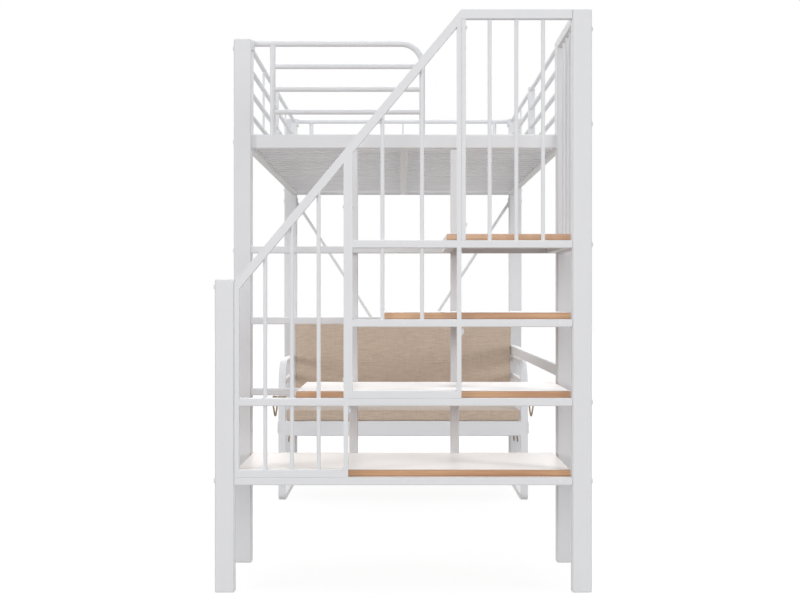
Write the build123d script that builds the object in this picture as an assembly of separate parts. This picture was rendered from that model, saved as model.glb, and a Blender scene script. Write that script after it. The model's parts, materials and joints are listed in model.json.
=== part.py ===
from build123d import *
import math
import os

# Loft bed with storage stairs and a sofa below, in millimetres.
# X runs across the bed, Y from the stairs to the head end, Z up from the floor.
# The origin is on the floor, below the middle of the whole bed.

# Bed bay and posts
inner_width = 1000
bay_length = 1920
stair_gap = 422
post_width = 58
bed_post_depth = 50
stair_post_depth = 38
short_height = 919
post_spare = 12
stair_post_inset = 8
post_corner = 4
cap_height = 4
cap_inset = 1
cap_edge = 1.5
glide_height = 6
glide_edge = 2

# Deck that carries the mattress
deck_bottom = 1356
rail_height = 46
rail_thickness = 25
rail_corner = 3
beam_width = 26
beam_height = 25
slat_count = 24
slat_width = 38
slat_thickness = 13.5

# Guards round the bed
guard_rise = 299
guard_bar_count = 4
guard_bar_diameter = 16
guard_thin_diameter = 8
thin_side_count = 8
guard_end_width = 25
guard_end_depth = 20
guard_frame_diameter = 19
guard_upright_diameter = 18
guard_upright_inset = 68
foot_guard_end = 59
foot_guard_bend = 70
bracket_thickness = 8
bracket_height = 33
bracket_depth = 30
bracket_corner = 2

# Low rails and braces of the head end
low_rail_gap = 8
low_rail_height = 40
brace_diameter = 13
brace_drop = 38
brace_foot = 66
brace_plate_thickness = 4
brace_plate_width = 24
brace_plate_height = 44

# Stairs
first_step = 357.5
step_rise = 232.3
step_count = 4
tread_thickness = 20
tread_edge = 2
tread_end_gap = 2
tread_rear_gap = 1
tread_front_gap = 2
second_tread_length = 811
third_tread_length = 554
fourth_tread_length = 366
stair_rail_height = 22.5
stair_rail_corner = 2
rear_rail_depth = 25
upright_width = 28
upright_depth = 25
bearer_width = 25

# Railing of the stairs
section_width = 333
frame_width = 13
frame_depth = 25
frame_corner = 1.5
handrail_drop = 7
handrail_thickness = 23.5
top_rail_height = 28
baluster_diameter = 12
baluster_pitch = 78.6
wide_pitch = 116.5
first_place_a = 89.5
first_place_b = 101
first_place_c = 83.5
close_count = 3
wide_count = 2
end_count = 4

# Sofa
sofa_depth = 573
sofa_side_step = 5
side_width = 30
side_tube = 22
arm_height = 600
arm_bend = 130
side_bend = 30
side_bar_width = 20
side_bar_drop = 83
seat_rail_bottom = 276
seat_rail_height = 63
seat_rail_thickness = 25
sofa_rear_setback = 18
seat_bar_count = 5
seat_bar_width = 30
seat_bar_height = 20
back_frame_height = 401
back_frame_inset = 15
back_tube = 25
back_bar_count = 3
back_bar_width = 20

# Cushions and their ties
seat_thickness = 61
back_thickness = 98
back_height = 424
cushion_gap = 0.3
cushion_side_gap = 3
cushion_corner = 26
cushion_draw = 7
cushion_crown_shares = (
    (0.08, 0),
    (0, 0.15),
    (0, 0.45),
    (0.10, 0.70),
    (0.40, 0.88),
    (0.90, 1),
)
tie_width = 6
tie_thickness = 1.6
tie_gap = 0.3
leg_tie_rise = 102
leg_tie_reach = 26
leg_tie_tail = 83
leg_tie_spread = 14
rail_tie_inset = 18
rail_tie_tail = 30
rail_tie_spread = 16

# Bolts
bolt_diameter = 16
bolt_height = 5
bolt_edge = 1.5
bolt_side_count = 10
small_bolt_diameter = 12
small_bolt_height = 4

# How far some bolts sit below the piece above them
railing_bolt_drop = 54
guard_bolt_drop = 15
short_post_bolt_drop = 20
brace_bolt_drop = 29

overrun = 50

# Planes worked out from the sizes above
inner_half = inner_width / 2
front = -(stair_post_depth + stair_gap + 2 * bed_post_depth + bay_length) / 2
stair_rear = front + stair_post_depth
foot_front = stair_rear + stair_gap
foot_rear = foot_front + bed_post_depth
head_front = foot_rear + bay_length
head_rear = head_front + bed_post_depth
stair_middle = (front + stair_rear) / 2
foot_middle = (foot_front + foot_rear) / 2
head_middle = (head_front + head_rear) / 2
bay_middle = (foot_rear + head_front) / 2
stair_right = inner_half - stair_post_inset
deck_top = deck_bottom + rail_height
deck_middle = deck_bottom + rail_height / 2
slat_top = deck_bottom + beam_height
guard_top = deck_top + guard_rise
tall_height = guard_top + post_spare
handrail_start = short_height - handrail_drop
brace_top = deck_bottom - brace_drop
low_rail_bottom = arm_height + low_rail_gap
low_rail_top = low_rail_bottom + low_rail_height
guard_line = inner_half + rail_thickness / 2
guard_upright_place = inner_half - guard_upright_inset
split = section_width / 2
frame_rear = front + frame_depth
sofa_half_width = inner_half + sofa_side_step
sofa_front = head_front - sofa_depth
sofa_rear = head_front - sofa_rear_setback
side_bar_top = arm_height - side_bar_drop
seat_rail_top = seat_rail_bottom + seat_rail_height
back_frame_top = seat_rail_top + back_frame_height
back_frame_half_width = sofa_half_width - back_frame_inset
leg_tie_height = seat_rail_top + leg_tie_rise
rail_tie_place = sofa_half_width - rail_tie_inset
guard_bolt_height = guard_top - guard_bolt_drop
brace_bolt_height = deck_bottom - brace_bolt_drop


def tread_top(step):
    """Height of a tread's upper face, counted from the lowest tread."""
    return first_step + step_rise * step


def stair_rail_top(step):
    """Height of the rails that carry a tread."""
    return tread_top(step) - tread_thickness


def stair_rail_bottom(step):
    return stair_rail_top(step) - stair_rail_height


def handrail_upper(x):
    """Height of the sloped handrail's upper edge at x."""
    rise = (tall_height - handrail_start) / (inner_half + split)
    return handrail_start + rise * (x + inner_half)


def handrail_lower(x):
    slope = math.atan((tall_height - handrail_start) / (inner_half + split))
    return handrail_upper(x) - handrail_thickness / math.cos(slope)


def block(low, high):
    """Square-edged bar between two opposite corners."""
    low, high = Vector(*low), Vector(*high)
    size = high - low
    return Pos((low + high) * 0.5) * Box(size.X, size.Y, size.Z)


def tube(low, high, along, corner):
    """Bar with its four long edges taken off."""
    bar = block(low, high)
    return chamfer(bar.edges().filter_by(along), corner)


def rod(start, end, diameter):
    """Round bar between two points."""
    run = Vector(*end) - Vector(*start)
    return extrude(Plane(origin=start, z_dir=run) * Circle(diameter / 2), run.length)




def mirrored(shape):
    """The same piece on the other side of the bed."""
    return mirror(shape, about=Plane.YZ)


def on_side(side, shape):
    return shape if side > 0 else mirrored(shape)


def coped(bar, others):
    """A bar whose ends and crossings are cut to the bars that it is welded to."""
    for other in others:
        bar = bar - other
    return bar


# Posts

post_places = {
    "front_left_stair_post": (-inner_half - post_width, front, stair_post_depth, short_height),
    "front_right_stair_post": (stair_right, front, stair_post_depth, tall_height),
    "foot_left_post": (-inner_half - post_width, foot_front, bed_post_depth, tall_height),
    "foot_right_post": (inner_half, foot_front, bed_post_depth, tall_height),
    "head_left_post": (-inner_half - post_width, head_front, bed_post_depth, tall_height),
    "head_right_post": (inner_half, head_front, bed_post_depth, tall_height),
}


def post(x, y, depth, height):
    low = (x, y, glide_height)
    high = (x + post_width, y + depth, height - cap_height)
    return tube(low, high, Axis.Z, post_corner)


def post_cap(x, y, depth, height):
    low = (x + cap_inset, y + cap_inset, height - cap_height)
    high = (x + post_width - cap_inset, y + depth - cap_inset, height)
    cap = tube(low, high, Axis.Z, post_corner - cap_inset)
    return chamfer(cap.faces().sort_by(Axis.Z)[-1].edges(), cap_edge)


def floor_glide(x, y, depth):
    low = (x, y, 0)
    high = (x + post_width, y + depth, glide_height)
    glide = tube(low, high, Axis.Z, post_corner)
    return chamfer(glide.faces().sort_by(Axis.Z)[0].edges(), glide_edge)


# Deck


def side_rail(side, bottom, height):
    low = (inner_half, foot_rear, bottom)
    high = (inner_half + rail_thickness, head_front, bottom + height)
    return on_side(side, tube(low, high, Axis.Y, rail_corner))


def end_rail(middle, bottom, height):
    """Cross rail centred in the depth of a pair of posts."""
    low = (-inner_half, middle - rail_thickness / 2, bottom)
    high = (inner_half, middle + rail_thickness / 2, bottom + height)
    return tube(low, high, Axis.X, rail_corner)


def centre_beam():
    low = (-beam_width / 2, foot_middle + rail_thickness / 2, deck_bottom)
    high = (beam_width / 2, head_middle - rail_thickness / 2, slat_top)
    return tube(low, high, Axis.Y, rail_corner)


def slats(side):
    """Cross slats of one half of the deck, between the beam and the side rail."""
    pitch = bay_length / (slat_count + 1)
    bars = []
    for i in range(slat_count):
        middle = foot_rear + pitch * (i + 1)
        low = (beam_width / 2, middle - slat_width / 2, slat_top - slat_thickness)
        high = (inner_half, middle + slat_width / 2, slat_top)
        bars.append(on_side(side, block(low, high)))
    return bars


# Guards


def guard_height(bar):
    """Height of a guard bar's centre, counted down from the top one."""
    return guard_top - guard_rise / guard_bar_count * bar


def thin_uprights(x, y, top_diameter):
    """Thin pieces in one line from the deck to the top bar, one between each pair of bars."""
    section = RegularPolygon(guard_thin_diameter / 2, thin_side_count)
    pieces = []
    foot = deck_top
    for bar in reversed(range(guard_bar_count)):
        diameter = top_diameter if bar == 0 else guard_bar_diameter
        head = guard_height(bar) - diameter / 2
        pieces.append(Pos(x, y, foot) * extrude(section, head - foot))
        foot = guard_height(bar) + diameter / 2
    return pieces


def side_guard(side, start, end):
    """Half of a side guard: two end uprights, four long bars and thin pieces midway."""
    top = guard_top + guard_bar_diameter / 2
    uprights = []
    for y in (start, end - guard_end_depth):
        low = (guard_line - guard_end_width / 2, y, deck_top)
        high = (guard_line + guard_end_width / 2, y + guard_end_depth, top)
        uprights.append(tube(low, high, Axis.Z, frame_corner))
    bars = []
    for i in range(guard_bar_count):
        near = (guard_line, start + guard_end_depth, guard_height(i))
        far = (guard_line, end - guard_end_depth, guard_height(i))
        bars.append(rod(near, far, guard_bar_diameter))
    thin = thin_uprights(guard_line, (start + end) / 2, guard_bar_diameter)
    return [on_side(side, piece) for piece in uprights + bars + thin]


def guard_bracket(side, middle):
    """Plate that bolts the end of a top bar to a post."""
    low = (inner_half - bracket_thickness, middle - bracket_depth / 2)
    high = (inner_half, middle + bracket_depth / 2)
    top = guard_top + guard_frame_diameter / 2
    plate = tube((*low, top - bracket_height), (*high, top), Axis.X, bracket_corner)
    return on_side(side, plate)


def guard_upright(x, middle):
    return rod((x, middle, deck_top), (x, middle, guard_top), guard_upright_diameter)


def guard_cross_bars(left, right, middle, ends):
    """The three bars below the top one, between two uprights."""
    bars = []
    for i in range(1, guard_bar_count):
        near = (left, middle, guard_height(i))
        far = (right, middle, guard_height(i))
        bars.append(coped(rod(near, far, guard_bar_diameter), ends))
    return bars


def foot_guard():
    """Guard beside the bed's entry, with its top bar bent down to the foot rail."""
    start = (-inner_half + bracket_thickness, foot_middle, guard_top)
    corner = (foot_guard_end, foot_middle, guard_top)
    foot = (foot_guard_end, foot_middle, deck_top)
    path = FilletPolyline(start, corner, foot, radius=foot_guard_bend)
    section = Plane(origin=start, z_dir=(1, 0, 0)) * Circle(guard_frame_diameter / 2)
    hoop = sweep(section, path=path)
    upright = coped(guard_upright(-guard_upright_place, foot_middle), [hoop])
    ends = [hoop, upright]
    bars = guard_cross_bars(-guard_upright_place, foot_guard_end, foot_middle, ends)
    return [hoop, upright, guard_bracket(-1, foot_middle)] + bars


def head_guard():
    """Guard of the head end, from post to post."""
    reach = inner_half - bracket_thickness
    left = (-reach, head_middle, guard_top)
    right = (reach, head_middle, guard_top)
    top = rod(left, right, guard_frame_diameter)
    uprights = []
    for side in (-1, 1):
        upright = guard_upright(side * guard_upright_place, head_middle)
        uprights.append(coped(upright, [top]))
    bars = guard_cross_bars(-guard_upright_place, guard_upright_place, head_middle, uprights)
    thin = thin_uprights(0, head_middle, guard_frame_diameter)
    brackets = [guard_bracket(side, head_middle) for side in (-1, 1)]
    return [top] + thin + uprights + bars + brackets


# Braces of the head end


def brace(side):
    """Slanted rod from the post to the low cross rail, with a bolting plate."""
    top = Vector(inner_half, head_middle, brace_top)
    foot = Vector(brace_foot, head_middle, low_rail_top)
    spare = (top - foot).normalized() * overrun
    bar = rod(foot - spare, top + spare, brace_diameter)
    room = block(
        (0, head_front, low_rail_top),
        (inner_half, head_rear, brace_top + overrun),
    )
    plate = tube(
        (inner_half - brace_plate_thickness, head_middle - brace_plate_width / 2,
         brace_top - brace_plate_height / 2),
        (inner_half, head_middle + brace_plate_width / 2,
         brace_top + brace_plate_height / 2),
        Axis.X,
        bracket_corner,
    )
    return on_side(side, (bar & room) + plate)


# Stairs

tread_end = stair_right - tread_end_gap
tread_starts = (
    -inner_half + tread_end_gap,
    tread_end - second_tread_length,
    tread_end - third_tread_length,
    tread_end - fourth_tread_length,
)


def tread(step):
    """Board that lies on the front and rear rails of its level."""
    low = (tread_starts[step], frame_rear + tread_front_gap, stair_rail_top(step))
    high = (tread_end, foot_front + rear_rail_depth - tread_rear_gap, tread_top(step))
    board = block(low, high)
    return chamfer(board.faces().sort_by(Axis.Z)[-1].edges(), tread_edge)


def front_stair_rail(step, start, end):
    low = (start, front, stair_rail_bottom(step))
    high = (end, stair_rear, stair_rail_top(step))
    return tube(low, high, Axis.X, stair_rail_corner)


def rear_stair_rail(step):
    low = (-inner_half, foot_front, stair_rail_bottom(step))
    high = (inner_half, foot_front + rear_rail_depth, stair_rail_top(step))
    return tube(low, high, Axis.X, stair_rail_corner)


def tread_bearer(step, start):
    """Short bar in depth that carries one end of a tread."""
    low = (start, stair_rear, stair_rail_bottom(step))
    high = (start + bearer_width, foot_front, stair_rail_top(step))
    return tube(low, high, Axis.Y, stair_rail_corner)


def rear_upright(side):
    """Upright behind the rear stair rails, up to the foot rail."""
    low = (split - upright_width / 2, foot_rear - upright_depth, stair_rail_bottom(0))
    high = (split + upright_width / 2, foot_rear, deck_bottom)
    return on_side(side, tube(low, high, Axis.Z, stair_rail_corner))


# Railing of the stairs


def sloped_bar(outline):
    """Flat outline in the railing's plane, given its depth."""
    points = [(x, front, z) for x, z in outline]
    face = Face(Wire.make_polygon(points, close=True))
    return extrude(face, frame_depth, dir=(0, 1, 0))


def handrail(start, end):
    return sloped_bar([
        (start, handrail_lower(start)),
        (end, handrail_lower(end)),
        (end, handrail_upper(end)),
        (start, handrail_upper(start)),
    ])


def sloped_upright(start, foot):
    """Upright whose top is cut to the handrail's slope."""
    end = start + frame_width
    return sloped_bar([
        (start, foot),
        (end, foot),
        (end, handrail_lower(end)),
        (start, handrail_lower(start)),
    ])


def above_handrail():
    """Room above the handrail's lower edge, to cut the balusters with."""
    left, right = -inner_half, split
    return sloped_bar([
        (left, handrail_lower(left)),
        (right, handrail_lower(right)),
        (right, handrail_lower(right) + overrun),
        (left, handrail_lower(right) + overrun),
    ])


def baluster(x, foot, head):
    middle = front + frame_depth / 2
    return rod((x, middle, foot), (x, middle, head), baluster_diameter)


def frame_bar(start, end, bottom, height):
    low = (start, front, bottom)
    high = (end, frame_rear, bottom + height)
    return tube(low, high, Axis.X, frame_corner)


def railing_section_a():
    """Lowest railing section, which stands on the first stair rail."""
    foot = stair_rail_top(0)
    left, right = -inner_half, -split - frame_width
    inner_left = left + frame_width
    pieces = [
        handrail(left, -split),
        sloped_upright(left, foot),
        sloped_upright(right, foot),
        frame_bar(inner_left, right, foot, stair_rail_height),
        front_stair_rail(1, inner_left, right),
    ]
    cutter = above_handrail()
    for i in range(close_count):
        x = left + first_place_a + baluster_pitch * i
        pieces.append(baluster(x, foot + stair_rail_height, stair_rail_bottom(1)))
        upper = baluster(x, stair_rail_top(1), handrail_upper(x))
        pieces.append(upper - cutter)
    return pieces


def railing_section_b():
    """Middle railing section, which stands on the second stair rail."""
    foot = stair_rail_top(1)
    left, right = -split, split - frame_width
    inner_left = left + frame_width
    pieces = [
        handrail(left, split),
        sloped_upright(left, foot),
        sloped_upright(right, foot),
        frame_bar(inner_left, right, foot, stair_rail_height),
        front_stair_rail(2, inner_left, right),
        front_stair_rail(3, inner_left, right),
    ]
    cutter = above_handrail()
    for i in range(wide_count):
        x = left + first_place_b + wide_pitch * i
        pieces.append(baluster(x, stair_rail_top(2), stair_rail_bottom(3)))
        upper = baluster(x, stair_rail_top(3), handrail_upper(x))
        pieces.append(upper - cutter)
    return pieces


def railing_section_c():
    """Level railing section beside the top tread."""
    foot = stair_rail_top(3)
    bottom = tall_height - top_rail_height
    post_low = (split, front, foot)
    post_high = (split + frame_width, frame_rear, bottom)
    pieces = [
        frame_bar(split, stair_right, bottom, top_rail_height),
        tube(post_low, post_high, Axis.Z, frame_corner),
    ]
    for i in range(close_count):
        pieces.append(baluster(split + first_place_c + baluster_pitch * i, foot, bottom))
    return pieces


def end_railing():
    """Railing in depth at the closed end of the top tread."""
    bottom = tall_height - top_rail_height
    foot = stair_rail_top(3)
    rails = []
    for low, high in ((bottom, tall_height), (stair_rail_bottom(3), foot)):
        rails.append(tube(
            (inner_half, stair_rear, low),
            (inner_half + frame_depth, foot_front, high),
            Axis.Y,
            frame_corner,
        ))
    x = inner_half + frame_depth / 2
    pitch = stair_gap / (end_count + 1)
    bars = []
    for i in range(end_count):
        y = stair_rear + pitch * (i + 1)
        bars.append(rod((x, y, foot), (x, y, bottom), baluster_diameter))
    return rails + bars


# Sofa


def sofa_side_frame(side):
    """Closed loop of tube: floor runner, legs and arm, with a bar below the arm."""
    outline = Plane.YZ * Pos(
        (sofa_front + head_front) / 2, arm_height / 2
    ) * Rectangle(sofa_depth, arm_height)
    corners = outline.vertices()
    top_front = corners.sort_by(Axis.Z)[2:].sort_by(Axis.Y)[0]
    others = [corner for corner in corners if corner != top_front]
    outline = fillet(others, side_bend)
    top_front = outline.vertices().sort_by(lambda v: v.Y - v.Z)[0]
    outline = fillet(top_front, arm_bend)
    ring = outline - offset(outline, -side_tube)
    loop = Pos(sofa_half_width, 0, 0) * extrude(ring, side_width, dir=(1, 0, 0))
    bar = tube(
        (sofa_half_width, sofa_front + side_tube, side_bar_top - side_tube),
        (sofa_half_width + side_bar_width, head_front - side_tube, side_bar_top),
        Axis.Y,
        frame_corner,
    )
    return [on_side(side, loop), on_side(side, bar)]


def seat_rail(start):
    low = (-sofa_half_width, start, seat_rail_bottom)
    high = (sofa_half_width, start + seat_rail_thickness, seat_rail_top)
    return tube(low, high, Axis.X, rail_corner)


def seat_bars():
    """Bars in depth between the front and rear seat rails, under the cushions."""
    pitch = 2 * sofa_half_width / (seat_bar_count + 1)
    bars = []
    for i in range(seat_bar_count):
        middle = -sofa_half_width + pitch * (i + 1)
        low = (middle - seat_bar_width / 2, sofa_front + seat_rail_thickness,
               seat_rail_top - seat_bar_height)
        high = (middle + seat_bar_width / 2, sofa_rear - seat_rail_thickness, seat_rail_top)
        bars.append(tube(low, high, Axis.Y, frame_corner))
    return bars


def back_frame():
    """Frame behind the back cushion, standing on the rear seat rail."""
    near = sofa_rear - back_tube
    pieces = []
    for side in (-1, 1):
        low = (back_frame_half_width - back_tube, near, seat_rail_top)
        high = (back_frame_half_width, sofa_rear, back_frame_top)
        pieces.append(on_side(side, tube(low, high, Axis.Z, frame_corner)))
    reach = back_frame_half_width - back_tube
    for bottom in (seat_rail_top + back_tube, back_frame_top - back_tube):
        low = (-reach, near, bottom)
        high = (reach, sofa_rear, bottom + back_tube)
        pieces.append(tube(low, high, Axis.X, frame_corner))
    pitch = 2 * reach / (back_bar_count + 1)
    for i in range(back_bar_count):
        middle = -reach + pitch * (i + 1)
        low = (middle - back_bar_width / 2, near, seat_rail_top + 2 * back_tube)
        high = (middle + back_bar_width / 2, sofa_rear, back_frame_top - back_tube)
        pieces.append(tube(low, high, Axis.Z, frame_corner))
    return pieces


# Cushions


def cushion_outline(width, depth, inset):
    """Outline with rounded corners and with sides drawn in between them."""
    x, y = width / 2 - inset, depth / 2 - inset
    r, draw = cushion_corner, cushion_draw
    turn = r * (1 - math.sqrt(0.5))
    edges = [
        ThreePointArc((-x + r, -y), (0, -y + draw), (x - r, -y)),
        ThreePointArc((x - r, -y), (x - turn, -y + turn), (x, -y + r)),
        ThreePointArc((x, -y + r), (x - draw, 0), (x, y - r)),
        ThreePointArc((x, y - r), (x - turn, y - turn), (x - r, y)),
        ThreePointArc((x - r, y), (0, y - draw), (-x + r, y)),
        ThreePointArc((-x + r, y), (-x + turn, y - turn), (-x, y - r)),
        ThreePointArc((-x, y - r), (-x + draw, 0), (-x, -y + r)),
        ThreePointArc((-x, -y + r), (-x + turn, -y + turn), (-x + r, -y)),
    ]
    return make_face(edges)


def cushion(width, depth, thickness):
    """Cushion on its flat underside, with rounded edges and a crowned top."""
    sections = []
    for inset_share, height_share in cushion_crown_shares:
        outline = cushion_outline(width, depth, inset_share * thickness)
        sections.append(Pos(0, 0, height_share * thickness) * outline)
    return loft(sections, ruled=True)


def seat_cushion():
    width = 2 * (sofa_half_width - cushion_side_gap)
    rear = sofa_rear - back_tube - back_thickness - 2 * cushion_gap
    depth = rear - sofa_front
    place = Pos(0, (rear + sofa_front) / 2, seat_rail_top + cushion_gap)
    return place * cushion(width, depth, seat_thickness)


def back_cushion():
    width = 2 * (sofa_half_width - 2 * cushion_side_gap)
    middle = seat_rail_top + cushion_gap + back_height / 2
    face = Plane(
        origin=(0, sofa_rear - back_tube - cushion_gap, middle),
        x_dir=(1, 0, 0),
        z_dir=(0, -1, 0),
    )
    return face * cushion(width, back_height, back_thickness)


# Ties


def strap(start, end, depth_place):
    """Flat strap in a plane across the bed, between two points of its middle line."""
    run = Vector(end[0] - start[0], 0, end[1] - start[1])
    across = Vector(-run.Z, 0, run.X).normalized() * (tie_width / 2)
    near = Vector(start[0], depth_place, start[1])
    far = Vector(end[0], depth_place, end[1])
    points = [near - across, far - across, far + across, near + across]
    face = Face(Wire.make_polygon(points, close=True))
    return extrude(face, tie_thickness, dir=(0, 1, 0))


def leg_tie(side):
    """Strap tied round the front leg, with two tails outside it."""
    outer = sofa_half_width + side_width
    wrap = tie_gap + tie_thickness
    hole = block(
        (sofa_half_width - tie_gap, sofa_front - tie_gap, leg_tie_height - tie_width),
        (outer + tie_gap, sofa_front + side_tube + tie_gap, leg_tie_height + tie_width),
    )
    band = block(
        (sofa_half_width - wrap, sofa_front - wrap, leg_tie_height - tie_width / 2),
        (outer + wrap, sofa_front + side_tube + wrap, leg_tie_height + tie_width / 2),
    )
    knot_x = outer + wrap
    knot = strap((knot_x, leg_tie_height), (knot_x + leg_tie_reach, leg_tie_height), sofa_front)
    tail_top = (knot_x + leg_tie_reach - tie_width / 2, leg_tie_height)
    tails = []
    for reach in (0, -leg_tie_spread):
        tail_end = (tail_top[0] + reach, leg_tie_height - leg_tie_tail)
        tails.append(strap(tail_top, tail_end, sofa_front))
    piece = (band - hole) + knot
    for tail in tails:
        piece = piece + tail
    return on_side(side, piece)


def rail_tie(side):
    """Strap round the front seat rail, with two tails below it."""
    wrap = tie_gap + tie_thickness
    left, right = rail_tie_place - tie_width / 2, rail_tie_place + tie_width / 2
    hole = block(
        (left - overrun, sofa_front - tie_gap, seat_rail_bottom - tie_gap),
        (right + overrun, sofa_front + seat_rail_thickness + tie_gap, seat_rail_top + overrun),
    )
    band = block(
        (left, sofa_front - wrap, seat_rail_bottom - wrap),
        (right, sofa_front + seat_rail_thickness + wrap, seat_rail_top - tie_gap),
    )
    knot = (rail_tie_place, seat_rail_bottom - tie_gap)
    piece = band - hole
    for reach in (tie_width / 2, -rail_tie_spread):
        tail_end = (rail_tie_place + reach, seat_rail_bottom - rail_tie_tail)
        tail = strap(knot, tail_end, sofa_front - wrap)
        piece = piece + (tail - hole)
    return on_side(side, piece)


# Bolts


def bolt_head(side, x, y, z, diameter, height):
    """Flat many-sided head that stands on a post's outer face."""
    section = RegularPolygon(diameter / 2, bolt_side_count)
    head = Plane(origin=(x, y, z), z_dir=(1, 0, 0)) * extrude(section, height)
    head = chamfer(head.faces().sort_by(Axis.X)[-1].edges(), bolt_edge)
    return on_side(side, head)


def rail_middle(step):
    return stair_rail_top(step) - stair_rail_height / 2


def left_post_bolts():
    outer = inner_half + post_width
    places = [
        (stair_middle, short_height - short_post_bolt_drop),
        (stair_middle, rail_middle(0)),
        (foot_middle, guard_bolt_height),
        (foot_middle, deck_middle),
        (foot_middle, rail_middle(3)),
        (head_middle, guard_bolt_height),
        (head_middle, deck_middle),
        (head_middle, brace_bolt_height),
    ]
    return [bolt_head(-1, outer, y, z, bolt_diameter, bolt_height) for y, z in places]


def right_post_bolts():
    outer = inner_half + post_width
    stair_outer = stair_right + post_width
    places = [
        (stair_outer, stair_middle, tall_height - railing_bolt_drop),
        (stair_outer, stair_middle, deck_middle),
        (stair_outer, stair_middle, rail_middle(3)),
        (stair_outer, stair_middle, rail_middle(1)),
        (stair_outer, stair_middle, rail_middle(0)),
        (outer, foot_middle, deck_middle),
        (outer, foot_middle, rail_middle(3)),
        (outer, head_middle, guard_bolt_height),
        (outer, head_middle, deck_middle),
        (outer, head_middle, brace_bolt_height),
    ]
    return [bolt_head(1, x, y, z, bolt_diameter, bolt_height) for x, y, z in places]


def sofa_bolts():
    """Two bolts through each leg into the seat rails."""
    outer = sofa_half_width + side_width
    heights = (
        seat_rail_bottom + seat_rail_height / 4,
        seat_rail_top - seat_rail_height / 4,
    )
    heads = []
    for side in (-1, 1):
        for z in heights:
            y = sofa_front + side_tube / 2
            heads.append(bolt_head(side, outer, y, z, small_bolt_diameter, small_bolt_height))
    return heads


def build():
    """All pieces by name, each a solid or a group of solids."""
    pieces = {}
    for name, (x, y, depth, height) in post_places.items():
        pieces[name] = [post(x, y, depth, height)]
    pieces["post_caps"] = [post_cap(*place) for place in post_places.values()]
    pieces["floor_glides"] = [floor_glide(x, y, depth)
                              for x, y, depth, height in post_places.values()]

    pieces["left_side_rail"] = [side_rail(-1, deck_bottom, rail_height)]
    pieces["right_side_rail"] = [side_rail(1, deck_bottom, rail_height)]
    pieces["foot_rail"] = [end_rail(foot_middle, deck_bottom, rail_height)]
    pieces["head_rail"] = [end_rail(head_middle, deck_bottom, rail_height)]
    pieces["centre_beam"] = [centre_beam()]
    pieces["left_slats"] = slats(-1)
    pieces["right_slats"] = slats(1)

    for side, word in ((-1, "left"), (1, "right")):
        pieces[word + "_guard_foot_half"] = side_guard(side, foot_rear, bay_middle)
        pieces[word + "_guard_head_half"] = side_guard(side, bay_middle, head_front)
        pieces[word + "_brace"] = [brace(side)]
        pieces[word + "_rear_stair_upright"] = [rear_upright(side)]
        pieces["sofa_" + word + "_side_frame"] = sofa_side_frame(side)
    pieces["foot_guard"] = foot_guard()
    pieces["head_guard"] = head_guard()
    pieces["low_side_rail"] = [side_rail(1, low_rail_bottom, low_rail_height)]
    pieces["low_head_rail"] = [end_rail(head_middle, low_rail_bottom, low_rail_height)]

    rail_starts = (-inner_half, -split, split, split)
    for step in range(step_count):
        number = str(step + 1)
        pieces["tread_" + number] = [tread(step)]
        pieces["front_stair_rail_" + number] = [
            front_stair_rail(step, rail_starts[step], stair_right)]
        pieces["rear_stair_rail_" + number] = [rear_stair_rail(step)]
    lefts = (-inner_half,) + tread_starts[1:]
    pieces["left_tread_bearers"] = [tread_bearer(step, lefts[step])
                                    for step in range(step_count)]
    pieces["right_tread_bearers"] = [tread_bearer(step, stair_right - bearer_width)
                                     for step in range(step_count)]
    pieces["railing_section_a"] = railing_section_a()
    pieces["railing_section_b"] = railing_section_b()
    pieces["railing_section_c"] = railing_section_c()
    pieces["end_railing"] = end_railing()

    pieces["sofa_front_rail"] = [seat_rail(sofa_front)]
    pieces["sofa_rear_rail"] = [seat_rail(sofa_rear - seat_rail_thickness)]
    pieces["sofa_seat_bars"] = seat_bars()
    pieces["sofa_back_frame"] = back_frame()
    pieces["seat_cushion"] = [seat_cushion()]
    pieces["back_cushion"] = [back_cushion()]
    pieces["cushion_ties"] = [tie(side) for side in (-1, 1) for tie in (leg_tie, rail_tie)]

    pieces["left_post_bolts"] = left_post_bolts()
    pieces["right_post_bolts"] = right_post_bolts()
    pieces["sofa_bolts"] = sofa_bolts()
    return pieces


os.makedirs("parts", exist_ok=True)
for name, shapes in build().items():
    solids = [solid for shape in shapes for solid in shape.solids()]
    export_step(Compound(solids), "parts/" + name + ".step")
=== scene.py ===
import json
import math

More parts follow.
